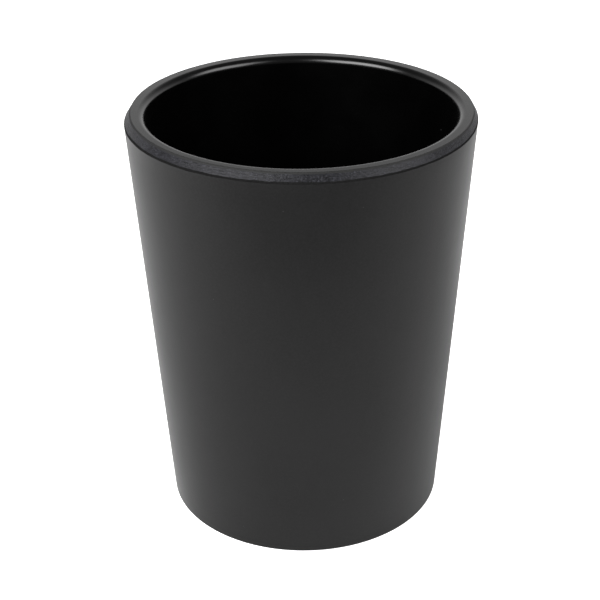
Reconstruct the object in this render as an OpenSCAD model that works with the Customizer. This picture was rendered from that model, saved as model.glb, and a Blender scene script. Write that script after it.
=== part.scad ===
// Empty candle jar: a tapered round vessel of dark stoneware with its wide end up. A matt coat covers
// the outer wall, a gloss glaze covers the lip and the inside, and a bevel ground round the outside of
// the rim cuts through both coats and leaves the body bare.
// The origin is the centre of the foot, on the surface that the jar stands on, and +Z is up.
// All sizes are in millimetres.

/* [Jar] */
// Height over all, from the foot to the top of the lip
jar_h = 100; // [80:1:130]
// Outside diameter at the foot, where the line of the wall meets the ground
foot_d = 66.8; // [60:0.1:76]
// Outside diameter at the rim, at the lower edge of the ground bevel
rim_d = 80.4; // [78:0.1:92]
// Thickness of the wall, coats included
wall_t = 4.8; // [4.2:0.1:6.5]
// Thickness of the floor above the recess, coats included
floor_t = 5; // [3.5:0.1:8]

/* [Rim] */
// Height of the ground bevel
bevel_h = 1.8; // [1:0.1:2.4]
// Width of the ground bevel, seen from above
bevel_w = 1.35; // [0.8:0.05:1.6]
// Radius that rounds the lip over into the jar
lip_r = 1.65; // [0.8:0.05:2]

/* [Inside and foot] */
// Radius of the cove between the inner wall and the inner floor
cove_r = 7; // [3:0.5:12]
// Width of the foot ring, from the line of the wall to the recess
foot_ring_w = 4.6; // [3:0.1:7]
// Depth of the recess under the floor
recess_h = 1.5; // [1.2:0.1:2.5]
// Radius of the corner at the top of the recess
recess_r = 1; // [0.5:0.1:1.4]
// Radius of both edges of the foot ring
foot_edge_r = 0.2; // [0.15:0.05:0.25]

/* [Coats] */
// Thickness of the matt coat on the outer wall and in the recess
coat_t = 0.25; // [0.15:0.05:0.4]
// Radius of the lower edge of the matt coat
coat_edge_r = 0.2; // [0.05:0.05:0.2]
// Height of the bare band between the ground and the matt coat
bare_h = 0.25; // [0.25:0.05:0.7]
// Thickness of the gloss glaze
glaze_t = 0.3; // [0.15:0.05:0.5]

/* [Hidden] */
$fn = 180;

foot_rad = foot_d / 2;
rim_rad = rim_d / 2;
bevel_z = jar_h - bevel_h;
inner_floor_z = recess_h + floor_t;
recess_rad = foot_rad - foot_ring_w;

// How far past a surface a cutting shape runs
past = 1;

// The wall leans out from the vertical: its rise in radius for each millimetre of height, and its angle
wall_slope = (rim_rad - foot_rad) / bevel_z;
lean = atan(wall_slope);

// Radius, at height z, of the line that lies deep millimetres inside the outer face of the wall
function wall_rad(z, deep) = foot_rad + wall_slope * z - deep / cos(lean);

// Unit vector square to the wall, in section, pointing away from the axis
wall_out = [cos(lean), -sin(lean)];

// Centres, in section, of the lip's rounding and of the cove
lip_c = [wall_rad(jar_h - lip_r, wall_t - lip_r), jar_h - lip_r];
cove_c = [wall_rad(inner_floor_z + cove_r, wall_t + cove_r), inner_floor_z + cove_r];

// Half section of a solid tumbler whose wall lies deep inside the outer face, standing at height z0
// with its lower edge rounded to edge_r
module tumbler_section(deep, z0, edge_r) {
    edge_c = [wall_rad(z0 + edge_r, deep + edge_r), z0 + edge_r];
    top_z = jar_h + past;
    polygon([
        [0, z0],
        [edge_c[0], z0],
        edge_c + edge_r * wall_out,
        [wall_rad(top_z, deep), top_z],
        [0, top_z],
    ]);
    translate(edge_c) circle(edge_r);
}

// Half section of the hollow, grown by grow into the wall, the floor and the top of the lip
module hollow_section(grow) {
    top_z = jar_h - grow;
    difference() {
        polygon([
            [0, inner_floor_z - grow],
            [cove_c[0], inner_floor_z - grow],
            cove_c + (cove_r + grow) * wall_out,
            lip_c - (lip_r - grow) * wall_out,
            [lip_c[0], top_z],
            [rim_rad + past, top_z],
            [rim_rad + past, jar_h + 2 * past],
            [0, jar_h + 2 * past],
        ]);
        translate(lip_c) circle(lip_r - grow);
    }
    translate(cove_c) circle(cove_r + grow);
}

// Half section of the recess under the floor, grown by grow into the body
module recess_section(grow) {
    corner_r = recess_r + grow;
    side = recess_rad + grow;
    top_z = recess_h + grow;
    polygon([
        [0, -past],
        [side, -past],
        [side, top_z - corner_r],
        [side - corner_r, top_z],
        [0, top_z],
    ]);
    translate([side - corner_r, top_z - corner_r]) circle(corner_r);
}

// Half section of what the grinding takes off the outside of the rim
module ground_off_section() {
    past_w = past * bevel_w / bevel_h;
    polygon([
        [rim_rad + past_w, bevel_z - past],
        [rim_rad - bevel_w - past_w, jar_h + past],
        [rim_rad + past_w, jar_h + past],
    ]);
}

// Rounding of the inner edge of the foot ring: what it takes off the corner
module ring_edge_section() {
    edge = recess_rad + coat_t;
    difference() {
        translate([edge - past, -past]) square([past + foot_edge_r, past + foot_edge_r]);
        translate([edge + foot_edge_r, foot_edge_r]) circle(foot_edge_r);
    }
}

module stoneware_body() {
    color([0.24, 0.24, 0.25])
        rotate_extrude()
            difference() {
                tumbler_section(coat_t, 0, foot_edge_r);
                hollow_section(glaze_t);
                recess_section(coat_t);
                ring_edge_section();
                ground_off_section();
            }
}

module outer_matt_coat() {
    color([0.16, 0.16, 0.165])
        rotate_extrude()
            difference() {
                tumbler_section(0, bare_h, coat_edge_r);
                tumbler_section(coat_t, 0, foot_edge_r);
                ground_off_section();
            }
}

module inner_gloss_glaze() {
    color([0.03, 0.03, 0.03])
        rotate_extrude()
            difference() {
                intersection() {
                    hollow_section(glaze_t);
                    tumbler_section(0, 0, foot_edge_r);
                }
                hollow_section(0);
                ground_off_section();
            }
}

module underside_coat() {
    color([0.16, 0.16, 0.165])
        rotate_extrude()
            difference() {
                recess_section(coat_t);
                recess_section(0);
                translate([0, -past]) square([foot_rad, past + bare_h]);
            }
}

stoneware_body();
outer_matt_coat();
inner_gloss_glaze();
underside_coat();
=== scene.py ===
"""Looks of the empty candle jar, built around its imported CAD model. Units are metres; +Z is up.

Each layer of the jar is turned again, finer, from the half section of its own CAD node. It is
then given what a hand-finished pot has: a rim that was ground a little off true, a mouth that isn't
quite round, and coats with a ragged edge at the grinding.
"""
import math
from collections import defaultdict

import bpy
import numpy as np
from mathutils import Matrix, Vector


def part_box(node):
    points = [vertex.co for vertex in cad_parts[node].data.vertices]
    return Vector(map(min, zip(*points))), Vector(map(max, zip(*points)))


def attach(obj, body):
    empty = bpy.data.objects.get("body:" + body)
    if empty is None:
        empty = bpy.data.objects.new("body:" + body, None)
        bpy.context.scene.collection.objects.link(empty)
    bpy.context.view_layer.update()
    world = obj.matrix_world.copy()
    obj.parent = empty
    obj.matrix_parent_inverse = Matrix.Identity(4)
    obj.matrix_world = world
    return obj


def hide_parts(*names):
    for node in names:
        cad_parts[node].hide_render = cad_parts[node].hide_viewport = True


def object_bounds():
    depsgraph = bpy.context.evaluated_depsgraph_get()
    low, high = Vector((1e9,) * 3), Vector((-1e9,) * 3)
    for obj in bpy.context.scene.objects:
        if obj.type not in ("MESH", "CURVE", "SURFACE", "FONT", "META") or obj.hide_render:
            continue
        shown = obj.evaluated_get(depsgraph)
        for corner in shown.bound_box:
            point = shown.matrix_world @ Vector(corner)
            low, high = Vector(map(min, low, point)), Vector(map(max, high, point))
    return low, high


MM = 0.001
SEED = 7

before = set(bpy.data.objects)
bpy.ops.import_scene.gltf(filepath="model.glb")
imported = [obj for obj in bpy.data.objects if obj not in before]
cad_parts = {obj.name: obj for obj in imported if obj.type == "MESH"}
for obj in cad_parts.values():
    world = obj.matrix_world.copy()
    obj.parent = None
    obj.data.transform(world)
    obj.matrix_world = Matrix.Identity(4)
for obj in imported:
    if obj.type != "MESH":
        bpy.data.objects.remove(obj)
cad_low, cad_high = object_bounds()
JAR_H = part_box("inner_gloss_glaze")[1].z
RIM_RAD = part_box("outer_matt_coat")[1].x


# ---------------------------------------------------------------- sections of the CAD nodes

SEAM_GAP = 0.001 * MM  # a point this close to the XZ plane, a line or another point lies on it
SHARP_TURN = math.radians(25)  # an outline that turns by more than this has a corner
ARC_TURN = math.radians(1)  # and one that turns by more than this is on an arc
EVEN_CHORDS = 0.05  # chords of one arc differ in length by no more than this share
ARC_STEP = math.radians(8.3)  # the longest step along an arc
LINE_STEP = 6 * MM  # and along a straight stretch
GUARD = 0.12 * MM  # a ring this far from a rounding keeps the straight's shading straight
GUARD_ROOM = 3 * GUARD  # and a straight shorter than this goes without


def seam_outline(node):
    """The node's half section as (radius, height) rows, anticlockwise.

    The section of a node that reaches the axis is closed along it.
    """
    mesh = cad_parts[node].data
    key = {}
    place = {}
    for v in mesh.vertices:
        if abs(v.co.y) < SEAM_GAP and v.co.x > 0:
            key[v.index] = (round(v.co.x / SEAM_GAP), round(v.co.z / SEAM_GAP))
            place[key[v.index]] = (v.co.x, v.co.z)
    links = defaultdict(set)
    for e in mesh.edges:
        a, b = (key.get(i) for i in e.vertices)
        if a and b and a != b:
            links[a].add(b)
            links[b].add(a)
    ends = sorted(k for k in links if len(links[k]) == 1)
    here = ends[0] if ends else min(links)
    walk = [here]
    while True:
        onward = [k for k in sorted(links[here]) if k not in walk[-2:]]
        if not onward or onward[0] == walk[0]:
            break
        here = onward[0]
        walk.append(here)
    rows = [place[k] for k in walk]
    if ends:
        rows = [(0.0, rows[0][1]), *rows, (0.0, rows[-1][1])]
    rows = np.array(rows)
    after = np.roll(rows, -1, axis=0)
    area = (rows[:, 0] * after[:, 1] - after[:, 0] * rows[:, 1]).sum()
    return rows if area > 0 else rows[::-1]


def turns(rows):
    """How far a closed outline turns at each of its points, in radians, anticlockwise positive."""
    to = np.roll(rows, -1, axis=0) - rows
    heading = np.arctan2(to[:, 1], to[:, 0])
    turn = heading - np.roll(heading, 1)
    return (turn + math.pi) % (2 * math.pi) - math.pi


def refined(rows):
    """The outline with its arcs cut finer, and its straights cut short next to a rounding."""
    turn = turns(rows)
    chords = np.roll(rows, -1, axis=0) - rows
    lengths = np.hypot(*chords.T)
    fine = []
    for i, a in enumerate(rows):
        j = (i + 1) % len(rows)
        length = lengths[i]
        along = chords[i] / length
        soft = [ARC_TURN < abs(turn[k]) < SHARP_TURN for k in (i, j)]
        even = min(abs(lengths[i - 1] - length), abs(lengths[j] - length)) < EVEN_CHORDS * length
        if all(soft) and even and turn[i] * turn[j] > 0:
            sweep = max(turn[i], turn[j], key=abs)
            cuts = max(1, math.ceil(abs(sweep) / ARC_STEP))
            radius = length / 2 / math.sin(abs(sweep) / 2)
            outward = np.array([along[1], -along[0]]) * math.copysign(1, sweep)
            for k in range(cuts):
                at = abs(sweep) * (k / cuts - 0.5)
                bulge = radius * (math.cos(at) - math.cos(sweep / 2))
                fine.append(a + along * (length / 2 + radius * math.sin(at)) + outward * bulge)
        else:
            cuts = max(1, math.ceil(length / LINE_STEP))
            stops = [length * k / cuts for k in range(cuts)]
            if length > GUARD_ROOM:
                stops += [at for at, bent in zip((GUARD, length - GUARD), soft) if bent]
            fine += [a + along * at for at in sorted(stops)]
    return np.array(fine)


# ---------------------------------------------------------------- the ground rim

SEGMENTS = 720  # steps round the axis
BEVEL_STEP = 0.25 * MM  # the longest step up the bevel
EDGE_ROUND = 0.08 * MM  # the bevel's outer corners are rounded off by this much
EDGE_REACH = 1.5 * EDGE_ROUND  # and their points lie no further than this past its ends
SAME_SHARE = 0.001  # shares of the bevel this close are the same point of it
WARP_DEEP = 8 * MM  # the wall makes up for the bevel's uneven lower edge in this height
MOUTH_DEEP = 25 * MM  # and the inner wall for the mouth's uneven edge in this one
FOOT_BAND = RIM_RAD / 4  # within this height the coat's outline has only its lower edge's points
KERNEL_SPANS = 3  # how many of its spans a smoothing kernel reaches to each side

ANGLES = np.linspace(0, 2 * math.pi, SEGMENTS, endpoint=False)
rng = np.random.default_rng(SEED)

outlines = {node: seam_outline(node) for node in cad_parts}
coat_line = outlines["outer_matt_coat"]
glaze_line = outlines["inner_gloss_glaze"]
lip_ring = glaze_line[glaze_line[:, 1] > JAR_H - SEAM_GAP]
BEVEL_LOW = coat_line[coat_line[:, 0].argmax()]
BEVEL_TOP = lip_ring[lip_ring[:, 0].argmax()]
LAND_IN = lip_ring[:, 0].min()
BODY_TOP_Z = outlines["stoneware_body"][:, 1].max()
foot_line = coat_line[coat_line[:, 1] < coat_line[:, 1].min() + FOOT_BAND]
FOOT_OUT = foot_line[foot_line[:, 0].argmax()]
WALL_SLOPE = (BEVEL_LOW[0] - FOOT_OUT[0]) / (BEVEL_LOW[1] - FOOT_OUT[1])
COAT_TOP = coat_line[coat_line[:, 1].argmax()]
COAT_T = BEVEL_LOW[0] + WALL_SLOPE * (COAT_TOP[1] - BEVEL_LOW[1]) - COAT_TOP[0]


def waves(*terms):
    """A value for each of ANGLES: a sum of (times round, size, phase in degrees) cosines."""
    return sum(size * np.cos(times * ANGLES + math.radians(phase)) for times, size, phase in terms)


def ragged(size, span):
    """Random wander of that standard deviation for each of ANGLES, smoothed over span segments."""
    reach = KERNEL_SPANS * span
    kernel = np.exp(-0.5 * (np.arange(-reach, reach + 1) / span) ** 2)
    raw = rng.standard_normal(SEGMENTS)
    smooth = np.array([(np.roll(raw, -k)[: len(kernel)] * kernel).sum() for k in range(SEGMENTS)])
    return size * smooth / smooth.std()


# The wheel took more off one side than the other. For each of ANGLES, and measured from the CAD
# model, top_in is how far in the bevel's top edge lies, low_down how far down its lower edge, and
# mouth_out how far out the edge of the mouth.
top_in = -0.07 * MM + waves((1, 0.41 * MM, 124), (2, 0.21 * MM, -103), (3, 0.06 * MM, 38))
top_in += ragged(size=0.015 * MM, span=3)
low_down = 0.13 * MM - waves((3, 0.09 * MM, 345), (7, 0.02 * MM, 40))
low_down = np.maximum(low_down + ragged(size=0.02 * MM, span=2), 0)
mouth_out = 0.03 * MM + waves((1, 0.14 * MM, -4), (2, 0.12 * MM, 56))


def bevel_share(rows):
    """Each point's share of the way up the bevel, its offset from it, and whether it is on it."""
    up = BEVEL_TOP - BEVEL_LOW
    share = (rows - BEVEL_LOW) @ up / (up @ up)
    offset = rows - (BEVEL_LOW + share[:, None] * up)
    reach = EDGE_REACH / np.hypot(*up)
    on = (np.hypot(*offset.T) < EDGE_ROUND) & (share > -reach) & (share < 1 + reach)
    return share, offset, on


def coat_edge(node, pick):
    """The share of the bevel at which a coat ends, before its edge is made ragged."""
    share, _, on = bevel_share(outlines[node])
    return pick(share[on])


# Where each coat ends and how far its edge wanders from there, as shares of the way up the bevel
RAGGED_EDGES = (
    (coat_edge("outer_matt_coat", max), ragged(size=0.012, span=2)),
    (coat_edge("inner_gloss_glaze", min), ragged(size=0.010, span=2)),
)


def wall_depth(rows):
    """How far each point lies inside the line of the wall's outer face, measured level."""
    return BEVEL_LOW[0] + WALL_SLOPE * (rows[:, 1] - BEVEL_LOW[1]) - rows[:, 0]


def smooth_step(share):
    """Rises from 0 to 1 as the share does, and levels off at both ends."""
    share = np.clip(share, 0, 1)
    return share * share * (3 - 2 * share)


def off_true(rows):
    """Radius and height of each point, for each of ANGLES, on the jar as it is finished by hand."""
    rad = np.repeat(rows[:, :1], SEGMENTS, axis=1)
    high = np.repeat(rows[:, 1:], SEGMENTS, axis=1)
    share, offset, on = bevel_share(rows)
    low_rad = BEVEL_LOW[0] - WALL_SLOPE * low_down
    low_z = BEVEL_LOW[1] - low_down
    top_rad = BEVEL_TOP[0] - top_in
    for i in np.nonzero(on)[0]:
        wanders = [wander for edge, wander in RAGGED_EDGES if abs(share[i] - edge) < SAME_SHARE]
        at = share[i] + sum(wanders)
        rad[i] = low_rad + (top_rad - low_rad) * at + offset[i, 0]
        high[i] = low_z + (BEVEL_TOP[1] - low_z) * at + offset[i, 1]
    # The land stretches or shrinks to meet the bevel's top edge
    land = ~on & (rows[:, 1] > BODY_TOP_Z - SEAM_GAP) & (rows[:, 0] > LAND_IN)
    rad[land] = LAND_IN + (rad[land] - LAND_IN) * (top_rad - LAND_IN) / (BEVEL_TOP[0] - LAND_IN)
    # The top of the outer wall, on both faces of its coat, moves down to meet the bevel
    deep = wall_depth(rows)
    wall = ~on & (deep < COAT_T + SEAM_GAP) & (rows[:, 1] > BEVEL_LOW[1] - WARP_DEEP)
    part = 1 - (BEVEL_LOW[1] - rows[wall, 1:]) / WARP_DEEP
    high[wall] -= part * low_down
    rad[wall] -= part * low_down * WALL_SLOPE
    # The mouth's shift fades out across the land and down the inner wall
    top_deep, land_deep = wall_depth(np.array([BEVEL_TOP, (LAND_IN, JAR_H)]))
    part = np.clip((deep - top_deep) / (land_deep - top_deep), 0, 1)
    part *= smooth_step(1 - (JAR_H - rows[:, 1]) / MOUTH_DEEP)
    rad += part[:, None] * mouth_out
    return np.minimum(rad, RIM_RAD), np.minimum(high, JAR_H)


def eased(rows):
    """The outline with a bevel's outer corners a little rounded off."""
    out = []
    for i, here in enumerate(rows):
        if min(np.hypot(*(here - corner)) for corner in (BEVEL_LOW, BEVEL_TOP)) > SEAM_GAP:
            out.append(here)
            continue
        to = [there - here for there in (rows[i - 1], rows[(i + 1) % len(rows)])]
        back, on = (here + t / np.hypot(*t) * EDGE_ROUND for t in to)
        crest = (back + on) / 4 + here / 2
        out += [back, crest, on]
    return np.array(out)


def cut_along_bevel(rows):
    """The outline with its stretch along the bevel cut into short ones."""
    fine = []
    for a, b in zip(rows, np.roll(rows, -1, axis=0)):
        on_bevel = bevel_share(np.array([a, b]))[2].all()
        cuts = math.ceil(np.hypot(*(b - a)) / BEVEL_STEP) if on_bevel else 1
        fine += [a + (b - a) * k / cuts for k in range(cuts)]
    return np.array(fine)


def turned(name, node):
    """The node's half section turned about Z as a closed mesh, smooth but for its corners.

    Its rim is as it is finished by hand. The faces on the bevel have 1 in their attribute
    "ground", and the others 0.
    """
    rows = cut_along_bevel(refined(eased(outlines[node])))
    corner = abs(turns(rows)) > SHARP_TURN
    on_bevel = bevel_share(rows)[2]
    rad, high = off_true(rows)
    verts, rings, ring_of = [], [], []
    for i, row in enumerate(rows):
        on_axis = row[0] < SEAM_GAP
        rings.append([len(verts) + (0 if on_axis else k) for k in range(SEGMENTS)])
        if on_axis:
            verts.append((0.0, 0.0, row[1]))
        else:
            verts += zip(rad[i] * np.cos(ANGLES), rad[i] * np.sin(ANGLES), high[i])
        ring_of += [i] * (len(verts) - len(ring_of))
    faces, cut = [], []
    for i, (low, up) in enumerate(zip(rings, rings[1:] + rings[:1])):
        for k in range(SEGMENTS):
            n = (k + 1) % SEGMENTS
            face = list(dict.fromkeys([low[k], low[n], up[n], up[k]]))
            if len(face) > 2:
                faces.append(face)
                cut.append(float(on_bevel[i] and on_bevel[(i + 1) % len(rows)]))
    mesh = bpy.data.meshes.new(name)
    mesh.from_pydata(verts, [], faces)
    mesh.shade_smooth()
    ends = np.empty(2 * len(mesh.edges), dtype=int)
    mesh.edges.foreach_get("vertices", ends)
    a, b = np.array(ring_of)[ends].reshape(-1, 2).T
    sharp = mesh.attributes.new("sharp_edge", "BOOLEAN", "EDGE")
    sharp.data.foreach_set("value", (a == b) & corner[a])
    mesh.attributes.new("ground", "FLOAT", "FACE").data.foreach_set("value", cut)
    piece = bpy.data.objects.new(name, mesh)
    bpy.context.scene.collection.objects.link(piece)
    return piece


# ---------------------------------------------------------------- materials

NOISE_SPAN = (0.3, 0.7)  # most of a noise's values lie between these
SPECK_CORE = 0.4  # the share of a speck's reach at which it is at full strength
STREAK_LONG = 6.0  # a streak that the wheel left is this many times as long as it is high


class Shader:
    """The node tree of a material, a world or a lamp, emptied and built up one node at a time."""

    def __init__(self, owner):
        owner.use_nodes = True
        self.tree = owner.node_tree
        self.tree.nodes.clear()

    def add(self, kind, inputs=None, out=0, **settings):
        """Adds a node, sets or links its inputs, and returns the output asked for."""
        node = self.tree.nodes.new("ShaderNode" + kind)
        for key, value in settings.items():
            setattr(node, key, value)
        for key, value in (inputs or {}).items():
            if isinstance(value, bpy.types.NodeSocket):
                self.tree.links.new(value, node.inputs[key])
            else:
                node.inputs[key].default_value = value
        return node.outputs[out] if node.outputs else None

    def noise(self, vector, size, detail=2.0, roughness=0.5):
        """Noise between 0 and 1 with blotches about that many metres across."""
        inputs = {"Vector": vector, "Scale": 1 / size, "Detail": detail, "Roughness": roughness}
        return self.add("TexNoise", inputs)

    def ramp(self, value, low, high, to_low=0.0, to_high=1.0):
        """The value's span from low to high, spread smoothly over that from to_low to to_high."""
        inputs = {"Value": value, "From Min": low, "From Max": high}
        inputs |= {"To Min": to_low, "To Max": to_high}
        return self.add("MapRange", inputs, interpolation_type="SMOOTHSTEP")

    def math(self, kind, a, b):
        return self.add("Math", {0: a, 1: b}, operation=kind)

    def blend(self, share, a, b, most=1.0):
        """Colour a, with colour b mixed into it by the share times most."""
        inputs = {"Factor": self.math("MULTIPLY", share, most), "A": a, "B": b}
        return self.add("Mix", inputs, out="Result", data_type="RGBA")

    def sum_of(self, *terms):
        """The sum of (pattern, size) terms, each pattern times its size."""
        sized = [self.math("MULTIPLY", pattern, size) for pattern, size in terms]
        total = sized[0]
        for term in sized[1:]:
            total = self.math("ADD", total, term)
        return total

    def ground(self):
        """1 where the wheel cut the piece, 0 elsewhere."""
        return self.add("Attribute", out="Fac", attribute_name="ground")

    def cut_rough(self, rough, least):
        """That roughness, but no less than least where the wheel cut the piece."""
        return self.math("MAXIMUM", rough, self.math("MULTIPLY", self.ground(), least))

    def specks(self, vector, cell, reach, kept):
        """1 in round specks of that reach, one in each of the kept share of cells, 0 elsewhere."""
        cells = {"Vector": vector, "Scale": 1 / cell}
        near = self.add("TexVoronoi", cells, out="Distance")
        pick = self.add("SeparateXYZ", {0: self.add("TexVoronoi", cells, out="Color")})
        spot = self.ramp(near, reach / cell, SPECK_CORE * reach / cell)
        return self.math("MULTIPLY", spot, self.math("LESS_THAN", pick, kept))

    def surface(self, relief, skin):
        """Ends the tree in a Principled shader with that relief, which is a height in metres."""
        normal = self.add("Bump", {"Height": relief, "Distance": 1.0, "Strength": 1.0})
        shader = self.add("BsdfPrincipled", skin | {"Normal": normal})
        self.add("OutputMaterial", {"Surface": shader})


def grey(level, blue=1.0):
    return (level, level, level * blue, 1.0)


def material(name):
    made = bpy.data.materials.new(name)
    return made, Shader(made)


def matt_coat_material():
    """A near-black matt glaze: smooth to the hand, faintly clouded, with a few pale pinholes."""
    made, s = material("matt_coat_look")
    at = s.add("TexCoord", out="Object")
    cloud = s.noise(at, size=22 * MM, detail=3)
    grain = s.noise(at, size=0.5 * MM, detail=3, roughness=0.7)
    speck = s.specks(at, cell=4 * MM, reach=0.13 * MM, kept=0.25)
    tone = s.blend(s.ramp(cloud, *NOISE_SPAN), grey(0.0030), grey(0.0050, blue=1.03))
    tone = s.blend(s.ramp(grain, 0.35, 0.75), tone, grey(0.009), most=0.6)
    tone = s.blend(speck, tone, grey(0.06), most=0.7)
    rough = s.sum_of((s.ramp(cloud, *NOISE_SPAN, to_low=0.27, to_high=0.31), 1.0), (grain, 0.06))
    relief = s.sum_of((grain, 0.010 * MM), (cloud, 0.10 * MM), (speck, -0.01 * MM))
    uncut = s.math("SUBTRACT", 1.0, s.ground())
    skin = {"Base Color": tone, "Roughness": s.cut_rough(rough, least=0.9), "IOR": 1.24}
    skin |= {"Coat Weight": s.math("MULTIPLY", uncut, 0.2), "Coat Roughness": 0.2}
    s.surface(relief, skin)
    return made


def gloss_glaze_material():
    """A glossy black liner glaze with a faint wave and a little dust."""
    made, s = material("gloss_glaze_look")
    at = s.add("TexCoord", out="Object")
    wave = s.noise(at, size=9 * MM)
    grain = s.noise(at, size=0.6 * MM)
    dust = s.specks(at, cell=3 * MM, reach=0.12 * MM, kept=0.12)
    tone = s.blend(dust, grey(0.0003), grey(0.15), most=0.6)
    rough = s.sum_of((s.ramp(wave, *NOISE_SPAN, to_low=0.20, to_high=0.23), 1.0), (dust, 0.3))
    relief = s.sum_of((grain, 0.0008 * MM), (wave, 0.02 * MM))
    skin = {"Base Color": tone, "Roughness": s.cut_rough(rough, least=0.68), "IOR": 1.47}
    s.surface(relief, skin)
    return made


def ground_stoneware_material():
    """Dark blue-grey fired clay as the wheel left it, with pale grit and streaks round the axis."""
    made, s = material("ground_stoneware_look")
    at = s.add("TexCoord", out="Object")
    squat = s.add("VectorMath", {0: at, 1: (1.0, 1.0, STREAK_LONG)}, operation="MULTIPLY")
    streak = s.noise(squat, size=1.2 * MM, detail=3, roughness=0.6)
    grit = s.noise(at, size=0.35 * MM, detail=3, roughness=0.65)
    patch = s.noise(at, size=6 * MM)
    blue = 1.2
    tone = s.blend(s.ramp(streak, *NOISE_SPAN), grey(0.003, blue), grey(0.018, blue))
    tone = s.blend(s.ramp(grit, 0.5, 0.75), tone, grey(0.055, blue), most=0.7)
    tone = s.blend(s.ramp(patch, 0.35, 0.7), tone, grey(0.024, blue), most=0.3)
    rough = s.ramp(grit, *NOISE_SPAN, to_low=0.28, to_high=0.42)
    relief = s.sum_of((grit, 0.06 * MM), (streak, 0.06 * MM))
    s.surface(relief, {"Base Color": tone, "Roughness": rough, "IOR": 1.25})
    return made


# ---------------------------------------------------------------- pieces

matt = matt_coat_material()
LAYERS = (
    ("jar_clay_body", "stoneware_body", "bare_stoneware", ground_stoneware_material()),
    ("jar_outer_skin", "outer_matt_coat", "matt_coat", matt),
    ("jar_liner_skin", "inner_gloss_glaze", "gloss_glaze", gloss_glaze_material()),
    ("jar_base_skin", "underside_coat", "matt_coat", matt),
)
for piece_name, cad_node, slot, look in LAYERS:
    layer = turned(piece_name, cad_node)
    layer.data.materials.append(look)
    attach(layer, "root")
    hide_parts(cad_node)


# ---------------------------------------------------------------- floor, light and camera

FLOOR_HALF = 2.0
FLOOR_SHADE_FADE = (-0.22, -0.09)  # painted shade: the table's colour darkens toward the camera between these places on Y, in place of the dimmer light there
FLOOR_NEAR_SHADED, FLOOR_FAR = 0.35, 0.8  # how pale its colour is in that painted shade in front, and behind it
BACKDROP_Y = (-0.3, 0.6)  # the backdrop's light comes up as a direction's Y goes through these
BACKDROP_Z = (0.65, 0.17)  # and as its Z does
SOFTBOX_AWAY = 0.7  # how far the softboxes stand from the mouth
SOFT_EDGE = 0.25  # share of a softbox over which its edge fades
LAMP_ENERGY = 4  # an area lamp's radiance in Cycles is a quarter of its energy over its area


def pale_floor(glow, lift):
    """A pale lit table, its colour darkened toward the camera as painted shade.

    The lift is light that only the camera sees, so that the table is as pale as its backdrop.
    """
    low = cad_low.z
    signs = ((-1, -1), (1, -1), (1, 1), (-1, 1))
    corners = [(x * FLOOR_HALF, y * FLOOR_HALF, low) for x, y in signs]
    mesh = bpy.data.meshes.new("floor")
    mesh.from_pydata(corners, [], [(0, 1, 2, 3)])
    made, s = material("floor_look")
    seen = s.math("MULTIPLY", s.add("LightPath", out="Is Camera Ray"), lift)
    y = s.add("SeparateXYZ", {0: s.add("TexCoord", out="Object")}, out="Y")
    # painted shade: the table's colour is darker toward the camera, standing in for the dimmer
    # light there
    paleness_and_painted_shade = s.blend(s.ramp(y, *FLOOR_SHADE_FADE), grey(FLOOR_NEAR_SHADED), grey(FLOOR_FAR))
    paper = s.add("BsdfDiffuse", {"Color": paleness_and_painted_shade})
    light = s.add("Emission", {"Color": grey(1.0), "Strength": s.math("ADD", seen, glow)})
    s.add("OutputMaterial", {"Surface": s.add("AddShader", {0: paper, 1: light})})
    mesh.materials.append(made)
    floor = bpy.data.objects.new("floor", mesh)
    bpy.context.scene.collection.objects.link(floor)


def studio_world(behind, room):
    """White to the eye.

    As a light it is as bright as behind says near the horizon at the jar's back, and as room says
    everywhere else.
    """
    world = bpy.data.worlds.new("studio")
    bpy.context.scene.world = world
    s = Shader(world)
    way = s.add("TexCoord", out="Generated")
    back = s.ramp(s.add("SeparateXYZ", {0: way}, out="Y"), *BACKDROP_Y)
    low = s.ramp(s.add("SeparateXYZ", {0: way}, out="Z"), *BACKDROP_Z)
    backdrop = s.math("MULTIPLY", s.math("MULTIPLY", back, low), behind - room)
    seen = s.add("LightPath", out="Is Camera Ray")
    level = s.math("MAXIMUM", s.math("ADD", backdrop, room), seen)
    s.add("OutputWorld", {"Surface": s.add("Background", {"Color": grey(1.0), "Strength": level})})


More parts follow.
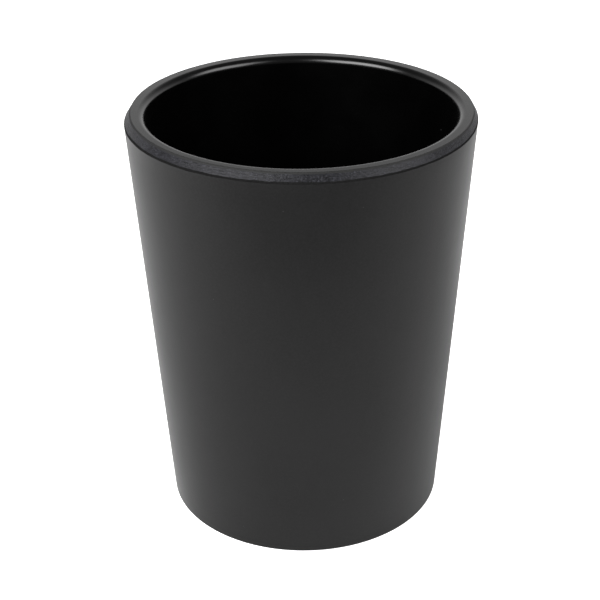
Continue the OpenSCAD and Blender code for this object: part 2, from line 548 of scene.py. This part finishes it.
def softbox(name, azimuth, low, high, half_wide, radiance):
    """A rectangular light with soft edges that faces the jar's mouth.

    Its azimuth, the elevations of its lower and upper edges and half its width are in degrees, as
    seen from the mouth.
    """
    lamp = bpy.data.lights.new(name, "AREA")
    lamp.shape = "RECTANGLE"
    lamp.size = 2 * SOFTBOX_AWAY * math.tan(math.radians(half_wide))
    lamp.size_y = 2 * SOFTBOX_AWAY * math.tan(math.radians((high - low) / 2))
    lamp.energy = LAMP_ENERGY * radiance * lamp.size * lamp.size_y
    s = Shader(lamp)
    across = s.add("SeparateXYZ", {0: s.add("NewGeometry", out="Parametric")}).node
    level = 1.0
    for axis in "XY":
        for edge in (0, 1):
            fade = s.ramp(across.outputs[axis], edge, abs(edge - SOFT_EDGE))
            level = s.math("MULTIPLY", fade, level)
    s.add("OutputLight", {"Surface": s.add("Emission", {"Strength": level})})
    box = bpy.data.objects.new(name, lamp)
    turn, lift = math.radians(azimuth), math.radians((low + high) / 2)
    flat = math.cos(lift)
    toward = Vector((math.cos(turn) * flat, math.sin(turn) * flat, math.sin(lift)))
    box.location = toward * SOFTBOX_AWAY + Vector((0, 0, JAR_H))
    box.rotation_euler = toward.to_track_quat("Z", "Y").to_euler()
    box.visible_camera = False
    bpy.context.scene.collection.objects.link(box)


pale_floor(glow=0.04, lift=0.96)
studio_world(behind=0.97, room=0.14)
softbox("left_softbox", azimuth=-141, low=15, high=60, half_wide=31, radiance=7.8)
softbox("right_softbox", azimuth=-25, low=14, high=58, half_wide=27, radiance=4.15)

# The camera faces the middle of the jar's axis, and is then moved sideways and up unturned
ELEVATION = math.radians(27.73)
ROLL = math.radians(-0.75)
AWAY = 8.7715 * RIM_RAD
AIM_LEFT = 0.77 * MM
AIM_UP = 0.32 * MM
LENS_MM = 86.94
SENSOR_MM = 36.0

camera = bpy.data.objects.new("camera", bpy.data.cameras.new("camera"))
bpy.context.scene.collection.objects.link(camera)
bpy.context.scene.camera = camera
camera.data.lens = LENS_MM
camera.data.sensor_width = SENSOR_MM
back = Vector((0, -math.cos(ELEVATION), math.sin(ELEVATION)))
facing = back.to_track_quat("Z", "Y").to_matrix() @ Matrix.Rotation(ROLL, 3, "Z")
middle = Vector((0, 0, JAR_H / 2))
place = middle + back * AWAY + facing @ Vector((-AIM_LEFT, AIM_UP, 0))
camera.matrix_world = Matrix.Translation(place) @ facing.to_4x4()
bpy.context.scene.view_settings.view_transform = "Standard"
